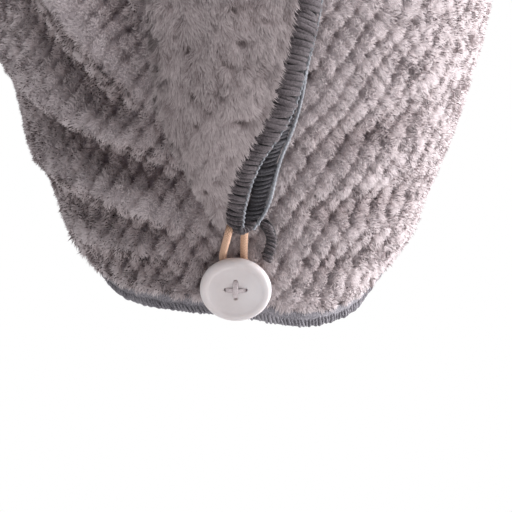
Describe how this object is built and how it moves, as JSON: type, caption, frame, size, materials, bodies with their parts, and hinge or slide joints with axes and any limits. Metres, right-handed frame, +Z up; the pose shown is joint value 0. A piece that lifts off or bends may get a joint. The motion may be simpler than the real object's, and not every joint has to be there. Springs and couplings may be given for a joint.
{
  "type": "hair turban towel",
  "caption": "Worn fleece hair towel: hood with overlocked rim and a folded tail brought back over the crown, held at the nape by an elastic loop on a button.",
  "frame": {"origin": "inside the crown, on the inner face of the fleece, where the top of the head carries the towel", "axes": "+Z up; -Y the back of the head, where the button is; +Y the wearer's face; +X the wearer's right"},
  "size_m": [0.2086, 0.2633, 0.2603],
  "materials": {
    "fleece": "high-pile waffle coral fleece, warm light grey, matt",
    "edging": "dark grey overlock thread, ribbed, matt",
    "button": "cream-white moulded polyester, satin",
    "thread": "pale grey sewing thread",
    "elastic": "tan braided elastic cord"
  },
  "bodies": {
    "root": {"hood": "fleece", "tail": "fleece", "rim_edge": "edging", "tail_edge_top": "edging", "tail_edge_under": "edging", "nape_seam": "edging", "elastic_loop": "elastic", "button": "button", "button_thread": "thread"}
  },
  "joints": []
}
